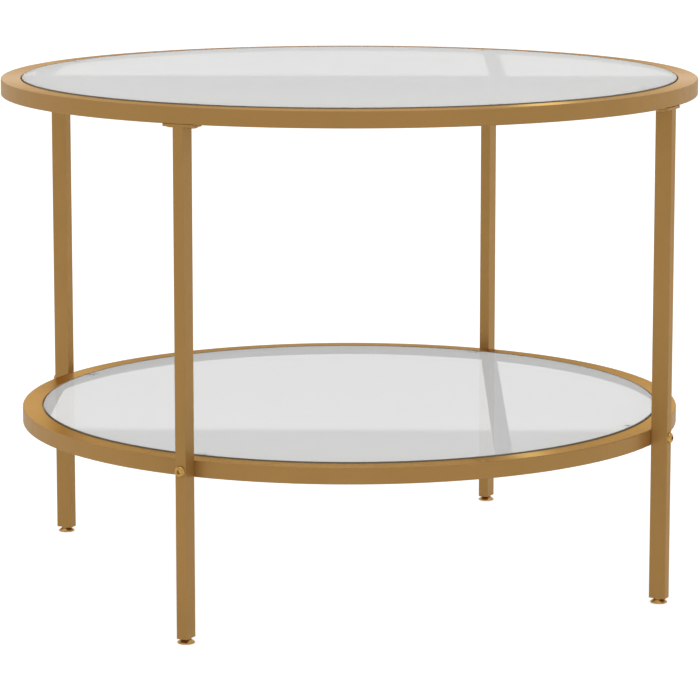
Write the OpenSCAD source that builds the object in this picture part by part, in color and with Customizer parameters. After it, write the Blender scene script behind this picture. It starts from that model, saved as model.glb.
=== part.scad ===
// Round two-tier coffee table: two rolled tube rings with inset glass,
// four slim tube legs bolted on, and screw-out levelling feet.
// Millimetres. Z is up, the origin is on the floor at the table's centre.

/* [Overall] */
// Outside diameter of the top ring
top_d = 700; // [600:10:800]
// Height of the glass top above the floor, feet screwed in
table_h = 508; // [440:1:600]
// Height of the shelf glass above the floor
shelf_h = 175; // [140:1:220]

/* [Rings] */
// Width of the ring tube, seen from above
ring_w = 20; // [16:0.5:26]
// Height of the ring tube
ring_t = 16; // [14:0.5:22]
// Wall of the ring tube
ring_wall = 1.2; // [1:0.1:2]
// Outside corner radius of the ring tube
ring_r = 0.9; // [0.6:0.1:2]

/* [Glass] */
// Thickness of both glass discs
glass_t = 5; // [4:1:8]
// Gap between a glass disc and its ring
glass_gap = 1.2; // [0.6:0.1:2]
// How far the glass stands above its ring
glass_proud = 1; // [0:0.1:2]
// Polished bevel on the glass edge
glass_bevel = 0.5; // [0.2:0.1:1]
// Length of a support tab, from the ring wall inwards
tab_l = 11; // [10:1:20]
// Width of a support tab
tab_w = 16; // [14:1:30]
// Thickness of a support tab
tab_t = 2.5; // [2:0.5:4]
// Height of a clear bumper between tab and glass
bumper_t = 1.5; // [1:0.5:3]
// Diameter of a clear bumper
bumper_d = 8; // [7:1:9]

/* [Legs] */
// Leg tube, across the ring
leg_a = 17; // [14:0.5:22]
// Leg tube, along the ring
leg_b = 11; // [9:0.5:15]
// Wall of the leg tube
leg_wall = 1.2; // [1:0.1:1.6]
// Outside corner radius of the leg tube
leg_r = 0.6; // [0.4:0.1:2]
// Length of the mounting plate on top of a leg
plate_l = 34; // [32:1:44]
// Thickness of the mounting plate
plate_t = 2.5; // [2:0.5:4]
// Corner radius of the mounting plate
plate_r = 2.5; // [1:0.5:4]
// Distance from the leg's centre to each plate screw
plate_hole = 11.3; // [11:0.1:14]

/* [Feet] */
// Gap between the floor and the end of a leg, feet screwed in
leg_gap = 5; // [5:0.5:8]
// Diameter of a foot pad
pad_d = 17; // [14:1:24]
// Height of a foot pad
pad_h = 3.8; // [3:0.1:4]
// Radius of the foot's threaded stem
stem_r = 2.5; // [2.5:0.1:2.6]
// Height of the stem's top above the floor, feet screwed in
stem_top = 25; // [22:1:30]

/* [Hidden] */

top_r = top_d/2;                       // outer radius of the top ring
shelf_r = top_r - leg_a;               // the shelf ring fits inside the legs
leg_rc = top_r - leg_a/2;              // radius of the leg's centre line
top_z1 = table_h - glass_proud;        // top face of the top ring
top_z0 = top_z1 - ring_t;              // its underside
shelf_z1 = shelf_h - glass_proud;      // top face of the shelf ring
shelf_z0 = shelf_z1 - ring_t;          // its underside
plate_z0 = top_z0 - plate_t;           // underside of the plates, top end of the legs
shelf_zc = (shelf_z0 + shelf_z1)/2;    // height of the shelf screws
eps = 0.01;

// angle of each leg round the table, 0 along +X
FL = 225; FR = 315; BL = 135; BR = 45;
LEGS = [FL, FR, BL, BR];
TABS = LEGS;                           // the support tabs sit by the legs

gold = [0.62, 0.47, 0.27];
gold_bright = [0.80, 0.62, 0.34];
zinc = [0.62, 0.62, 0.60];
brass = [0.76, 0.62, 0.34];
brown = [0.30, 0.14, 0.05];
clear = [0.86, 0.92, 0.90, 0.35];
silicone = [0.88, 0.89, 0.88, 0.6];

// ---- shapes -------------------------------------------------------------

// rectangle with round corners, lower left corner at [0, 0]
module round_rect(w, h, r) {
    translate([r, 0]) square([w - 2*r, h]);
    translate([0, r]) square([w, h - 2*r]);
    for (x = [r, w - r], y = [r, h - r]) translate([x, y]) circle(r = r, $fn = 32);
}

// puts a child at a leg, with X pointing outwards and Y along the ring
module at(a, r = 0, z = 0) {
    rotate([0, 0, a]) translate([r, 0, z]) children();
}

// one ring of hollow tube, outer radius ro, underside at z0
module tube_ring(ro, z0) {
    translate([0, 0, z0]) rotate_extrude($fn = 240) difference() {
        translate([ro - ring_w, 0]) round_rect(ring_w, ring_t, ring_r);
        translate([ro - ring_w + ring_wall, ring_wall])
            square([ring_w - 2*ring_wall, ring_t - 2*ring_wall]);
    }
}

// four support tabs, welded to the inner wall of a ring
module tabs(ri, z1) {
    for (a = TABS) at(a) intersection() {
        translate([0, 0, z1 - tab_t]) difference() {
            cylinder(r = ri, h = tab_t, $fn = 240);
            translate([0, 0, -1]) cylinder(r = ri - tab_l, h = tab_t + 2, $fn = 240);
        }
        translate([ri/2, -tab_w/2, z1 - tab_t - 1]) cube([ri, tab_w, tab_t + 2]);
    }
}

module bumpers(ri, z0) {
    for (a = TABS) at(a, ri - tab_l/2 - 1, z0) rotate_extrude($fn = 48)
        polygon([[0, 0], [bumper_d/2, 0], [bumper_d/2, bumper_t*0.5],
                 [bumper_d/2 - 0.8, bumper_t], [0, bumper_t]]);
}

module glass_disc(r, z1) {
    b = glass_bevel;
    translate([0, 0, z1 - glass_t]) rotate_extrude($fn = 240)
        polygon([[0, 0], [r - b, 0], [r, b], [r, glass_t - b], [r - b, glass_t], [0, glass_t]]);
}

// threaded insert set in a tube wall: body along +Z from its flush face
module rivet_nut(r_out, r_in, l, wall) {
    difference() {
        union() {
            cylinder(r = r_out, h = l, $fn = 48);
            translate([0, 0, wall]) cylinder(r = r_out + 1, h = 1.6, $fn = 48);
        }
        translate([0, 0, -1]) cylinder(r = r_in, h = l + 2, $fn = 48);
    }
}

// domed socket screw along +Z: the head stands below z = 0, the shank goes up
module socket_screw(r_head, h_head, r_shank, l, af, deep) {
    difference() {
        union() {
            rotate_extrude($fn = 64) polygon(concat(
                [[0, 0], [r_head, 0], [r_head, -h_head*0.22]],
                [for (i = [1:9]) let (t = i*10)
                    [r_head*(0.36 + 0.64*cos(t*0.9)), -h_head*(0.22 + 0.78*sin(t))]],
                [[0, -h_head]]));
            cylinder(r = r_shank, h = l, $fn = 48);
        }
        translate([0, 0, -h_head - 1]) cylinder(d = af/cos(30), h = deep + 1, $fn = 6);
    }
}

// ---- top ----------------------------------------------------------------

module top_ring() color(gold) difference() {
    tube_ring(top_r, top_z0);
    for (a = LEGS, s = [-1, 1]) at(a, leg_rc, top_z0 - 1)
        translate([0, s*plate_hole, 0]) cylinder(r = 3.5, h = 1 + ring_wall + 0.5, $fn = 48);
}

module top_ring_tabs() color(gold) tabs(top_r - ring_w, table_h - glass_t - bumper_t);

module top_bumpers() color(silicone) bumpers(top_r - ring_w, table_h - glass_t - bumper_t);

module top_glass() color(clear) glass_disc(top_r - ring_w - glass_gap, table_h);

module top_rivet_nuts() color(zinc)
    for (a = LEGS, s = [-1, 1]) at(a, leg_rc, top_z0)
        translate([0, s*plate_hole, 0]) rivet_nut(3.5, 2.55, 10, ring_wall);

// mounting plate welded on top of a leg
module plate(a) color(gold) at(a, leg_rc, plate_z0) difference() {
    translate([-leg_a/2, -plate_l/2, 0]) linear_extrude(plate_t)
        round_rect(leg_a, plate_l, plate_r);
    for (s = [-1, 1]) translate([0, s*plate_hole, -1])
        cylinder(r = 2.75, h = plate_t + 2, $fn = 48);
}
module plate_front_left() plate(FL);
module plate_front_right() plate(FR);
module plate_back_left() plate(BL);
module plate_back_right() plate(BR);

module plate_screws() color(gold_bright)
    for (a = LEGS, s = [-1, 1]) at(a, leg_rc, plate_z0)
        translate([0, s*plate_hole, 0]) socket_screw(4.9, 1.6, 2.5, 11, 3, 1.1);

// ---- legs ---------------------------------------------------------------

module leg(a) color(gold) at(a, leg_rc) difference() {
    translate([-leg_a/2, -leg_b/2, leg_gap]) linear_extrude(plate_z0 - leg_gap) difference() {
        round_rect(leg_a, leg_b, leg_r);
        translate([leg_wall, leg_wall]) square([leg_a - 2*leg_wall, leg_b - 2*leg_wall]);
    }
    translate([-leg_a, 0, shelf_zc]) rotate([0, 90, 0])
        cylinder(r = 3.2, h = 2*leg_a, $fn = 48);
}
module leg_front_left() leg(FL);
module leg_front_right() leg(FR);
module leg_back_left() leg(BL);
module leg_back_right() leg(BR);

// ---- shelf --------------------------------------------------------------

module shelf_ring() color(gold) difference() {
    tube_ring(shelf_r, shelf_z0);
    for (a = LEGS) at(a, shelf_r - ring_wall - 2, shelf_zc) rotate([0, 90, 0])
        cylinder(r = 4.5, h = ring_wall + 4, $fn = 48);
}

module shelf_ring_tabs() color(gold) tabs(shelf_r - ring_w, shelf_h - glass_t - bumper_t);

module shelf_bumpers() color(silicone) bumpers(shelf_r - ring_w, shelf_h - glass_t - bumper_t);

module shelf_glass() color(clear) glass_disc(shelf_r - ring_w - glass_gap, shelf_h);

module shelf_rivet_nuts() color(zinc)
    for (a = LEGS) at(a, shelf_r - 0.15, shelf_zc) rotate([0, -90, 0])
        rivet_nut(4.5, 3.05, 11, ring_wall + 0.05);

module shelf_screws() color(gold_bright)
    for (a = LEGS) at(a, top_r, shelf_zc) rotate([0, -90, 0])
        socket_screw(5.25, 3.2, 3, 25, 4, 2);

// ---- feet ---------------------------------------------------------------

// closed end of a leg tube, bored for the foot's bush
module plug(a) color(brown) at(a, leg_rc) difference() {
    translate([-leg_a/2 + leg_wall, -leg_b/2 + leg_wall, leg_gap])
        cube([leg_a - 2*leg_wall, leg_b - 2*leg_wall, 14]);
    translate([0, 0, leg_gap - 1]) cylinder(r = 3.5, h = 16, $fn = 48);
}
module plug_front_left() plug(FL);
module plug_front_right() plug(FR);
module plug_back_left() plug(BL);
module plug_back_right() plug(BR);

module foot_bushes() color(brass)
    for (a = LEGS) at(a, leg_rc, leg_gap + 0.2) difference() {
        cylinder(r = 3.5, h = 12, $fn = 48);
        translate([0, 0, -1]) cylinder(r = stem_r + 0.05, h = 14, $fn = 48);
    }

// threaded stem with a hex collar that seats on the pad
module foot_stem(a) color(gold_bright) at(a, leg_rc) {
    translate([0, 0, pad_h - 2.4]) cylinder(r = stem_r, h = stem_top - pad_h + 2.4 - 0.8, $fn = 48);
    translate([0, 0, stem_top - 0.8 - eps]) rotate_extrude($fn = 48)
        polygon([[0, 0], [stem_r, 0], [stem_r - 0.8, 0.8 + eps], [0, 0.8 + eps]]);
    translate([0, 0, pad_h]) cylinder(d = 8/cos(30), h = 1, $fn = 6);
}
module foot_stem_front_left() foot_stem(FL);
module foot_stem_front_right() foot_stem(FR);
module foot_stem_back_left() foot_stem(BL);
module foot_stem_back_right() foot_stem(BR);

// flared pad that stands on the floor and lets the stem turn in it
module foot_pad(a) color(gold_bright) at(a, leg_rc) difference() {
    rotate_extrude($fn = 64) polygon([
        [0, 0], [pad_d/2 - 0.5, 0], [pad_d/2, 0.5], [pad_d/2, 0.9], [pad_d/2 - 0.25, 1.25],
        [5.3, pad_h - 0.3], [4.9, pad_h], [0, pad_h]]);
    translate([0, 0, pad_h - 2.5]) cylinder(r = stem_r + 0.05, h = 4, $fn = 48);
}
module foot_pad_front_left() foot_pad(FL);
module foot_pad_front_right() foot_pad(FR);
module foot_pad_back_left() foot_pad(BL);
module foot_pad_back_right() foot_pad(BR);

top_ring();
top_ring_tabs();
top_bumpers();
top_glass();
top_rivet_nuts();
plate_front_left();
plate_front_right();
plate_back_left();
plate_back_right();
plate_screws();
leg_front_left();
leg_front_right();
leg_back_left();
leg_back_right();
shelf_ring();
shelf_ring_tabs();
shelf_bumpers();
shelf_glass();
shelf_rivet_nuts();
shelf_screws();
plug_front_left();
plug_front_right();
plug_back_left();
plug_back_right();
foot_bushes();
foot_stem_front_left();
foot_stem_front_right();
foot_stem_back_left();
foot_stem_back_right();
foot_pad_front_left();
foot_pad_front_right();
foot_pad_back_left();
foot_pad_back_right();
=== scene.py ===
"""Round two-tier coffee table: finishes, stage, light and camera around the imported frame. Metres."""
import math

import bpy
from mathutils import Matrix, Vector

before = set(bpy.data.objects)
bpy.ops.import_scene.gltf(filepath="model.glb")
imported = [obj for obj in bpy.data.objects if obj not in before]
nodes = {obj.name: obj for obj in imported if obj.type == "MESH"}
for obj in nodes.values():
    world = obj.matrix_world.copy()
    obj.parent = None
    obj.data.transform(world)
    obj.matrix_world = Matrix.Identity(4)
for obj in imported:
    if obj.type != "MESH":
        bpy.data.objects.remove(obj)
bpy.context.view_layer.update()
scene = bpy.context.scene

# ---------------------------------------------------------------- camera
AZ = math.radians(-18.259)  # where the camera stands, round the table
YAW = math.radians(-0.010)
PITCH = math.radians(8.924)
DIST, HEIGHT = 3.3144, 0.8180

cam_data = bpy.data.cameras.new("camera")
cam_data.sensor_fit = "HORIZONTAL"
cam_data.sensor_width = 36.0
cam_data.lens = 169.40
cam_data.shift_y = -0.10
cam_data.clip_start, cam_data.clip_end = 0.05, 200.0
cam = bpy.data.objects.new("camera", cam_data)
scene.collection.objects.link(cam)
scene.camera = cam
head = AZ + YAW
look = Vector((-math.sin(head) * math.cos(PITCH), math.cos(head) * math.cos(PITCH), -math.sin(PITCH)))
cam.location = (math.sin(AZ) * DIST, -math.cos(AZ) * DIST, HEIGHT)
cam.rotation_mode = "QUATERNION"
cam.rotation_quaternion = look.to_track_quat("-Z", "Y")
BACK = Vector((-math.sin(head), math.cos(head), 0.0))  # level, away from the photograph's side

scene.view_settings.view_transform = "Standard"
scene.view_settings.look = "None"
scene.view_settings.exposure = 0.0
scene.view_settings.gamma = 1.0


# ---------------------------------------------------------------- node helpers
class Tree:
    """A node tree with short ways to add and join nodes."""

    def __init__(self, nt):
        self.nt = nt

    def add(self, kind, **props):
        n = self.nt.nodes.new(kind)
        for k, v in props.items():
            setattr(n, k, v)
        return n

    def to(self, source, socket):
        if hasattr(source, "is_output") or hasattr(source, "links"):
            self.nt.links.new(source, socket)
        else:
            socket.default_value = source

    def math(self, op, a, b=0.0, c=None, clamp=False):
        n = self.add("ShaderNodeMath", operation=op, use_clamp=clamp)
        self.to(a, n.inputs[0])
        self.to(b, n.inputs[1])
        if c is not None:
            self.to(c, n.inputs[2])
        return n.outputs[0]

    def rng(self, value, a, b, c, d, smooth=False):
        n = self.add("ShaderNodeMapRange", interpolation_type="SMOOTHSTEP" if smooth else "LINEAR")
        self.to(value, n.inputs["Value"])
        for k, v in (("From Min", a), ("From Max", b), ("To Min", c), ("To Max", d)):
            self.to(v, n.inputs[k])
        return n.outputs["Result"]

    def ramp(self, value, stops):
        n = self.add("ShaderNodeValToRGB")
        r = n.color_ramp
        while len(r.elements) > 1:
            r.elements.remove(r.elements[-1])
        for i, (p, c) in enumerate(stops):
            c = (c, c, c, 1) if isinstance(c, (int, float)) else (*c, 1)
            e = r.elements[0] if i == 0 else r.elements.new(p)
            e.position, e.color = p, c
        self.to(value, n.inputs["Fac"])
        return n.outputs["Color"]

    def noise(self, vector, scale, detail=2.0, rough=0.5, distortion=0.0):
        n = self.add("ShaderNodeTexNoise")
        self.to(vector, n.inputs["Vector"])
        n.inputs["Scale"].default_value = scale
        n.inputs["Detail"].default_value = detail
        n.inputs["Roughness"].default_value = rough
        n.inputs["Distortion"].default_value = distortion
        return n.outputs["Fac"]

    def cells(self, vector, scale):
        n = self.add("ShaderNodeTexVoronoi")
        self.to(vector, n.inputs["Vector"])
        n.inputs["Scale"].default_value = scale
        return n

    def mix(self, fac, a, b, mode="MIX"):
        n = self.add("ShaderNodeMix", data_type="RGBA", blend_type=mode)
        self.to(fac, n.inputs["Factor"])
        for name, v in (("A", a), ("B", b)):
            s = [x for x in n.inputs if x.name == name and x.type == "RGBA"][0]
            self.to((*v, 1) if isinstance(v, tuple) and len(v) == 3 else v, s)
        return [x for x in n.outputs if x.type == "RGBA"][0]

    def bump(self, height, strength, distance, normal=None):
        n = self.add("ShaderNodeBump")
        n.inputs["Strength"].default_value = strength
        n.inputs["Distance"].default_value = distance
        self.to(height, n.inputs["Height"])
        if normal is not None:
            self.to(normal, n.inputs["Normal"])
        return n.outputs["Normal"]


def material(name):
    m = bpy.data.materials.new(name)
    m.use_nodes = True
    m.node_tree.nodes.clear()
    t = Tree(m.node_tree)
    out = t.add("ShaderNodeOutputMaterial")
    b = t.add("ShaderNodeBsdfPrincipled")
    t.to(b.outputs["BSDF"], out.inputs["Surface"])
    where = t.add("ShaderNodeTexCoord").outputs["Object"]
    return m, t, b, where


def shade(rgb, k):
    return tuple(min(1.0, c * k) for c in rgb)


# ---------------------------------------------------------------- finishes
def satin_gold(name, brushed_and_lit):
    """Satin gold coat: fine metal flake, a slight orange peel, and soft large unevenness. The rolled rings are brushed
    round, and their flat faces take a paler, fully metallic copy of the same gold: a painted highlight, lighter than
    the sides of the same tube.
    """
    m, t, b, p = material(name)
    # the brushed and lit copy is paler: painted highlight on the rings' flat faces
    gold = (0.50, 0.31, 0.14) if brushed_and_lit else (0.430, 0.237, 0.071)
    flake = t.cells(p, 2600.0)
    tint = t.rng(t.noise(p, 14.0, 3.0), 0.35, 0.65, 0.97, 1.03)
    spark = t.rng(flake.outputs["Color"], 0.0, 1.0, 0.94, 1.06)
    col = t.mix(1.0, gold, t.math("MULTIPLY", tint, spark), "MULTIPLY")
    t.to(col, b.inputs["Base Color"])
    b.inputs["Metallic"].default_value = 1.0 if brushed_and_lit else 0.5
    b.inputs["Specular Tint"].default_value = (0.95, 0.70, 0.38, 1) if brushed_and_lit else (0.97, 0.84, 0.62, 1)
    low, high = (0.23, 0.27) if brushed_and_lit else (0.35, 0.41)
    t.to(t.rng(t.noise(p, 90.0, 3.0), 0.3, 0.7, low, high), b.inputs["Roughness"])
    if brushed_and_lit:
        b.inputs["Anisotropic"].default_value = 1.0
        b.inputs["Anisotropic Rotation"].default_value = 0.25
        around = t.add("ShaderNodeTangent", direction_type="RADIAL", axis="Z")
        t.to(around.outputs[0], b.inputs["Tangent"])
    peel = t.bump(t.noise(p, 620.0, 2.0), 0.12, 0.00006)
    grain = t.bump(flake.outputs["Distance"], 0.06, 0.00004, peel)
    t.to(grain, b.inputs["Normal"])
    return m


def bright_gold(name, gold, smooth, dull):
    """Gold plating on the screws and the feet, with fine turning marks and faint wear."""
    m, t, b, p = material(name)
    wear = t.rng(t.noise(p, 260.0, 4.0, 0.6), 0.45, 0.75, 0.0, 1.0)
    t.to(t.mix(wear, gold, shade(gold, 0.72)), b.inputs["Base Color"])
    b.inputs["Metallic"].default_value = 1.0
    t.to(t.rng(t.noise(p, 700.0, 3.0), 0.3, 0.7, smooth, dull), b.inputs["Roughness"])
    t.to(t.bump(t.noise(p, 1500.0, 2.0), 0.08, 0.00005), b.inputs["Normal"])
    return m


def zinc():
    """Bright zinc plating: bluish grey with a fine spangle."""
    m, t, b, p = material("zinc_steel")
    s = t.cells(p, 900.0)
    v = t.rng(s.outputs["Color"], 0.0, 1.0, 0.0, 1.0)
    t.to(t.mix(v, (0.50, 0.51, 0.52), (0.60, 0.61, 0.61)), b.inputs["Base Color"])
    b.inputs["Metallic"].default_value = 1.0
    t.to(t.rng(t.noise(p, 420.0, 3.0), 0.3, 0.7, 0.24, 0.38), b.inputs["Roughness"])
    t.to(t.bump(t.noise(p, 1100.0, 2.0), 0.1, 0.00005), b.inputs["Normal"])
    return m


def turned_brass():
    m, t, b, p = material("brass")
    w = t.add("ShaderNodeTexWave", wave_type="BANDS", bands_direction="Z")
    t.to(p, w.inputs["Vector"])
    w.inputs["Scale"].default_value = 900.0
    w.inputs["Distortion"].default_value = 1.5
    t.to(t.mix(t.noise(p, 300.0, 3.0), (0.60, 0.40, 0.15), (0.70, 0.48, 0.19)), b.inputs["Base Color"])
    b.inputs["Metallic"].default_value = 1.0
    t.to(t.rng(w.outputs["Fac"], 0.0, 1.0, 0.24, 0.36), b.inputs["Roughness"])
    t.to(t.bump(w.outputs["Fac"], 0.15, 0.00004), b.inputs["Normal"])
    return m


def plug_plastic():
    """Moulded bronze-brown plastic with a fine spark-eroded grain."""
    m, t, b, p = material("brown_plastic")
    t.to(t.mix(t.noise(p, 40.0, 3.0), (0.235, 0.085, 0.018), (0.290, 0.110, 0.026)), b.inputs["Base Color"])
    t.to(t.rng(t.noise(p, 500.0, 2.0), 0.3, 0.7, 0.48, 0.62), b.inputs["Roughness"])
    t.to(t.bump(t.noise(p, 2200.0, 2.0), 0.2, 0.00006), b.inputs["Normal"])
    return m


def silicone():
    """Clear bumper, slightly milky."""
    m, t, b, p = material("clear_silicone")
    t.to(t.mix(t.noise(p, 120.0, 2.0), (0.92, 0.93, 0.92), (0.96, 0.97, 0.96)), b.inputs["Base Color"])
    b.inputs["Transmission Weight"].default_value = 0.25
    b.inputs["IOR"].default_value = 1.41
    t.to(t.rng(t.noise(p, 300.0, 2.0), 0.3, 0.7, 0.22, 0.34), b.inputs["Roughness"])
    return m


HAZE = 0.35  # how much of the light from below the haze in a sheet passes on


def float_glass(name, under):
    """Clear float glass: barely green, with a trace of handling marks in its gloss. Seen very flat, the upper face lets
    the sight into the sheet, and the under face shows the sheet's pale haze. under is how pale the haze is, set lower
    on the shelf disc than on the top disc as painted shade, and 0 for the upper face.
    """
    m, t, b, p = material(name)
    b.inputs["Base Color"].default_value = (0.955, 0.975, 0.966, 1)
    b.inputs["Transmission Weight"].default_value = 1.0
    b.inputs["IOR"].default_value = 1.52
    t.to(t.rng(t.noise(p, 7.0, 4.0, 0.6), 0.45, 0.8, 0.0, 0.025), b.inputs["Roughness"])
    flat = t.add("ShaderNodeLayerWeight")
    flat.inputs["Blend"].default_value = 0.5
    inside = t.add("ShaderNodeNewGeometry").outputs["Backfacing"]
    if under:
        other = t.add("ShaderNodeBsdfTranslucent")
        other.inputs["Color"].default_value = (under * HAZE, under * HAZE, 0.995 * under * HAZE, 1)
        share = t.math("MULTIPLY", t.rng(flat.outputs["Facing"], 0.195, 0.234, 0.0, 1.0, True), inside)
    else:
        other = t.add("ShaderNodeBsdfRefraction")
        other.inputs["Color"].default_value = (1, 1, 1, 1)
        other.inputs["Roughness"].default_value = 0.0
        other.inputs["IOR"].default_value = 1.52
        outside = t.math("SUBTRACT", 1.0, inside)
        share = t.math("MULTIPLY", t.rng(flat.outputs["Facing"], 0.60, 0.79, 0.0, 0.85, True), outside)
    both = t.add("ShaderNodeMixShader")
    t.to(share, both.inputs[0])
    t.to(b.outputs[0], both.inputs[1])
    t.to(other.outputs[0], both.inputs[2])
    # lamps and sky reach the tabs and rings below through the sheet
    clear = t.add("ShaderNodeBsdfTransparent")
    clear.inputs["Color"].default_value = (0.90, 0.92, 0.91, 1)
    last = t.add("ShaderNodeMixShader")
    t.to(t.add("ShaderNodeLightPath").outputs["Is Shadow Ray"], last.inputs[0])
    t.to(both.outputs[0], last.inputs[1])
    t.to(clear.outputs[0], last.inputs[2])
    out = [n for n in t.nt.nodes if n.type == "OUTPUT_MATERIAL"][0]
    t.to(last.outputs[0], out.inputs["Surface"])
    return m


def glass_edge():
    """The ground and polished rim, given as an opaque dark warm brown: painted shade and a painted reflection of the
    gold ring beside it.
    """
    m, t, b, p = material("glass_edge")
    t.to(t.mix(t.noise(p, 60.0, 3.0), (0.120, 0.098, 0.066), (0.165, 0.138, 0.096)), b.inputs["Base Color"])
    b.inputs["IOR"].default_value = 1.52
    t.to(t.rng(t.noise(p, 500.0, 2.0), 0.3, 0.7, 0.10, 0.2), b.inputs["Roughness"])
    return m


GOLD, RING = satin_gold("gold_tube", False), satin_gold("gold_ring", True)
BRIGHT = bright_gold("bright_gold", (0.62, 0.38, 0.11), 0.13, 0.21)
FOOT = bright_gold("foot_gold", (0.66, 0.40, 0.14), 0.30, 0.42)
ZINC, BRASS = zinc(), turned_brass()
PLUG, SILI, EDGE = plug_plastic(), silicone(), glass_edge()
GLASS = float_glass("clear_glass", 0.0)
# the shelf disc's haze is darker than the top disc's: painted shade on the lower sheet
UNDER = {"top_glass": float_glass("top_glass_under", 0.80), "shelf_glass": float_glass("shelf_glass_under", 0.66)}

FINISH = {
    "top_ring": GOLD, "top_ring_tabs": GOLD, "shelf_ring": GOLD, "shelf_ring_tabs": GOLD,
    "top_bumpers": SILI, "shelf_bumpers": SILI, "top_glass": GLASS, "shelf_glass": GLASS,
    "top_rivet_nuts": ZINC, "shelf_rivet_nuts": ZINC, "plate_screws": BRIGHT, "shelf_screws": BRIGHT,
    "foot_bushes": BRASS,
}
for end in ("front_left", "front_right", "back_left", "back_right"):
    FINISH["plate_" + end] = GOLD
    FINISH["leg_" + end] = GOLD
    FINISH["plug_" + end] = PLUG
    FINISH["foot_stem_" + end] = FOOT
    FINISH["foot_pad_" + end] = FOOT

for name, obj in nodes.items():
    obj.data.materials.clear()
    obj.data.materials.append(FINISH[name])
    for poly in obj.data.polygons:
        poly.material_index = 0

# the rings are brushed round on their flat faces, which also take the paler gold as a painted highlight
for name in ("top_ring", "shelf_ring"):
    me = nodes[name].data
    me.materials.append(RING)
    for poly in me.polygons:
        if abs(poly.normal.z) > 0.99:
            poly.material_index = 1

# the glass discs' rims take the edge finish, and their under faces the under finish
for name in ("top_glass", "shelf_glass"):
    me = nodes[name].data
    me.materials.append(EDGE)
    me.materials.append(UNDER[name])
    for poly in me.polygons:
        if poly.normal.z < -0.9:
            poly.material_index = 2
        elif poly.normal.z < 0.9:
            poly.material_index = 1

# ---------------------------------------------------------------- stage
floor_mesh = bpy.data.meshes.new("floor")
S = 60.0
floor_mesh.from_pydata([(-S, -S, 0), (S, -S, 0), (S, S, 0), (-S, S, 0)], [], [(0, 1, 2, 3)])
floor = bpy.data.objects.new("floor", floor_mesh)
floor.location.z = -0.0003
scene.collection.objects.link(floor)


def floor_material():
    """Plain white studio floor, lit from within like a light table, and lifted a little where it is seen directly so that it joins the white backdrop."""
    m = bpy.data.materials.new("floor")
    m.use_nodes = True
    m.node_tree.nodes.clear()
    t = Tree(m.node_tree)
    out = t.add("ShaderNodeOutputMaterial")
    d = t.add("ShaderNodeBsdfDiffuse")
    d.inputs["Color"].default_value = (0.40, 0.40, 0.40, 1)
    e = t.add("ShaderNodeEmission")
    e.inputs["Color"].default_value = (1, 1, 1, 1)
    ray = t.add("ShaderNodeLightPath")
    t.to(t.rng(ray.outputs["Is Camera Ray"], 0.0, 1.0, 0.465, 0.80), e.inputs["Strength"])
    add = t.add("ShaderNodeAddShader")
    t.to(d.outputs[0], add.inputs[0])
    t.to(e.outputs[0], add.inputs[1])
    t.to(add.outputs[0], out.inputs["Surface"])
    return m


floor_mesh.materials.append(floor_material())


def studio():
    """A white studio: a pale band round the horizon, a soft glow overhead, and a dimmer front."""
    w = bpy.data.worlds.new("studio")
    scene.world = w
    w.use_nodes = True
    w.node_tree.nodes.clear()
    t = Tree(w.node_tree)
    out = t.add("ShaderNodeOutputWorld")
    bg = t.add("ShaderNodeBackground")
    t.to(bg.outputs[0], out.inputs["Surface"])
    d = t.add("ShaderNodeTexCoord").outputs["Generated"]
    sep = t.add("ShaderNodeSeparateXYZ")
    t.to(d, sep.inputs[0])
    z = sep.outputs["Z"]
    dot = t.add("ShaderNodeVectorMath", operation="DOT_PRODUCT")
    t.to(d, dot.inputs[0])
    dot.inputs[1].default_value = BACK
    back = dot.outputs["Value"]
    low = t.rng(back, -1.0, 0.9, 0.74, 0.90, True)
    high = t.rng(back, -0.6, 0.8, 0.62, 0.68, True)
    high = t.math("ADD", high, t.rng(z, 0.8, 0.97, 0.0, 0.9, True))
    both = t.add("ShaderNodeMix", data_type="FLOAT")
    t.to(t.rng(z, 0.2, 0.5, 0.0, 1.0, True), both.inputs[0])
    t.to(low, both.inputs[2])
    t.to(high, both.inputs[3])
    ray = t.add("ShaderNodeLightPath")
    seen = t.add("ShaderNodeMix", data_type="FLOAT")
    t.to(ray.outputs["Is Camera Ray"], seen.inputs[0])
    t.to(both.outputs[0], seen.inputs[2])
    seen.inputs[3].default_value = 1.0
    t.to(seen.outputs[0], bg.inputs["Strength"])
    bg.inputs["Color"].default_value = (1, 1, 1, 1)


studio()


def aimed(name, kind, direction, at=(0, 0, 0)):
    """A light that shines along direction."""
    data = bpy.data.lights.new(name, kind)
    ob = bpy.data.objects.new(name, data)
    ob.location = at
    ob.rotation_mode = "QUATERNION"
    ob.rotation_quaternion = Vector(direction).to_track_quat("-Z", "Y")
    scene.collection.objects.link(ob)
    return ob


SIDE = Vector((BACK.y, -BACK.x, 0.0))  # level, to the photograph's right


def turned_back(degrees):
    a = math.radians(degrees)
    return BACK * math.cos(a) + SIDE * math.sin(a)


# a soft box high behind, a little to the right: it draws the bright streaks across the rings
toward = turned_back(11.5) * math.cos(math.radians(34)) + Vector((0, 0, math.sin(math.radians(34))))
box = aimed("soft_box", "AREA", -toward, toward * 4.0)
box.data.shape = "DISK"
box.data.size = 0.22
box.data.energy = 3.0
box.data.color = (0.80, 1.0, 1.25)
box.visible_camera = False


# a low light behind each glass disc: it lights the haze in the sheet, and the ring and back legs leave their shadows there
def group(name, obs):
    c = bpy.data.collections.new(name)
    for o in obs:
        c.objects.link(o)
    return c


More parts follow.
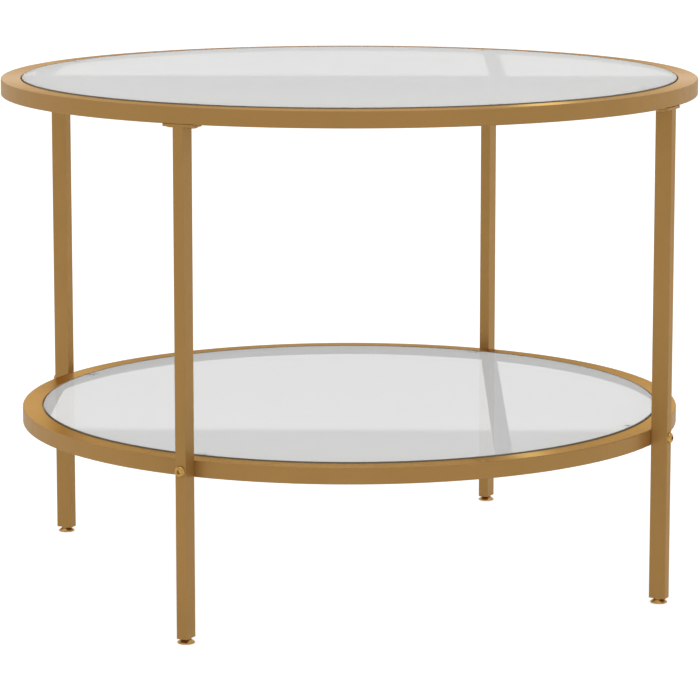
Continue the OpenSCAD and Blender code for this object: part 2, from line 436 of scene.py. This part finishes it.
def mask(name, low, high, pale):
    """An unseen upright screen far behind, between two heights. Only the low lights see it. pale is the share of light it passes."""
    me = bpy.data.meshes.new(name)
    at = turned_back(LOW_AZ) * MASK_AT
    w = Vector((turned_back(LOW_AZ).y, -turned_back(LOW_AZ).x, 0.0)) * 1.5
    me.from_pydata([tuple(at - w + Vector((0, 0, low))), tuple(at + w + Vector((0, 0, low))),
                    tuple(at + w + Vector((0, 0, high))), tuple(at - w + Vector((0, 0, high)))], [], [(0, 1, 2, 3)])
    ob = bpy.data.objects.new(name, me)
    m = bpy.data.materials.new(name)
    m.use_nodes = True
    m.node_tree.nodes.clear()
    t = Tree(m.node_tree)
    out = t.add("ShaderNodeOutputMaterial")
    clear = t.add("ShaderNodeBsdfTransparent")
    clear.inputs["Color"].default_value = (pale, pale, pale, 1)
    t.to(clear.outputs[0], out.inputs["Surface"])
    me.materials.append(m)
    scene.collection.objects.link(ob)
    for ray in ("camera", "diffuse", "glossy", "transmission"):
        setattr(ob, "visible_" + ray, False)
    return ob


LOW_AZ, LOW_EL, MASK_AT = 0.8, 12.5, 2.0
rise = math.tan(math.radians(LOW_EL))
travel = -turned_back(LOW_AZ) * math.cos(math.radians(LOW_EL)) + Vector((0, 0, math.sin(math.radians(LOW_EL))))
frame_nodes = [o for n, o in nodes.items() if n.split("_")[0] in ("leg", "plate") or n in ("top_ring", "shelf_ring")]
for tier, strength, edge, pale in (("top", 2.25, 0.4997, 0.0), ("shelf", 5.3, 0.1349, 0.45)):
    lamp = aimed("low_light_" + tier, "SUN", travel)
    lamp.data.angle = math.radians(0.15)
    lamp.data.energy = strength / HAZE
    lamp.visible_camera = lamp.visible_glossy = lamp.visible_transmission = False
    screen = mask("low_mask_" + tier, -8.0, edge - MASK_AT * rise, pale)
    lamp.light_linking.receiver_collection = group("lit_" + tier, [nodes[tier + "_glass"]])
    lamp.light_linking.blocker_collection = group("casts_" + tier, frame_nodes + [screen])

# the light table's own light on the haze, straight from below
for tier, strength in (("top", 9.05), ("shelf", 8.1)):
    glow = aimed("light_table_" + tier, "SUN", (0, 0, 1), (0, 0, -1))
    glow.data.angle = math.radians(60)
    glow.data.energy = strength
    glow.visible_camera = glow.visible_glossy = glow.visible_transmission = False
    glow.light_linking.receiver_collection = group("glow_" + tier, [nodes[tier + "_glass"]])
    glow.light_linking.blocker_collection = group("no_shadow_" + tier, [bpy.data.objects["low_mask_top"]])
